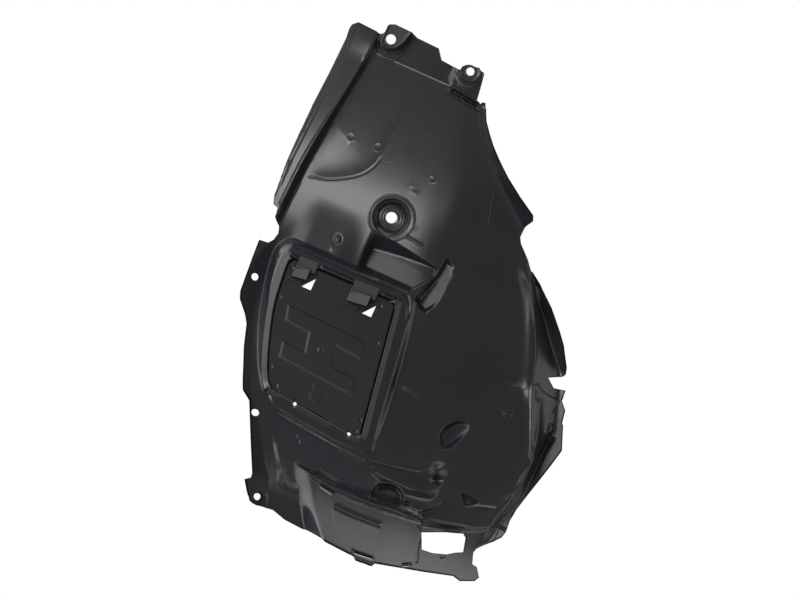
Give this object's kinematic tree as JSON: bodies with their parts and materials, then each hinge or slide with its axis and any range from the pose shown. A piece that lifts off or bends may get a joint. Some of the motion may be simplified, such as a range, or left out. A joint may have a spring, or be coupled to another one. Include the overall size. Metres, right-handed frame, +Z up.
{
  "type": "wheel arch liner",
  "caption": "Moulded plastic mudguard panel that lines the front of a wheel arch, with fixing flanges, an air opening and a hinged access cover.",
  "frame": {"origin": "centre of the centre fixing hole, on the wheel side of the cup's floor", "axes": "+Z up along the panel, with the hatch's top edge level; +X right as seen from the wheel; -Y towards the wheel, the way the centre fixing comes out"},
  "size_m": [0.406, 0.2661, 0.5515],
  "materials": {
    "liner_plastic": "satin",
    "cover_plastic": "satin"
  },
  "bodies": {
    "liner": {"liner_shell": "liner_plastic"},
    "cover": {"access_cover": "cover_plastic"}
  },
  "joints": [
    {"name": "cover_tilt", "type": "hinge", "parent": "liner", "child": "cover", "pos_m": [0.0095, -0.08705, -0.2265], "axis": [0.9949, -0.0373, -0.0936], "range_deg": [0, 55]}
  ]
}
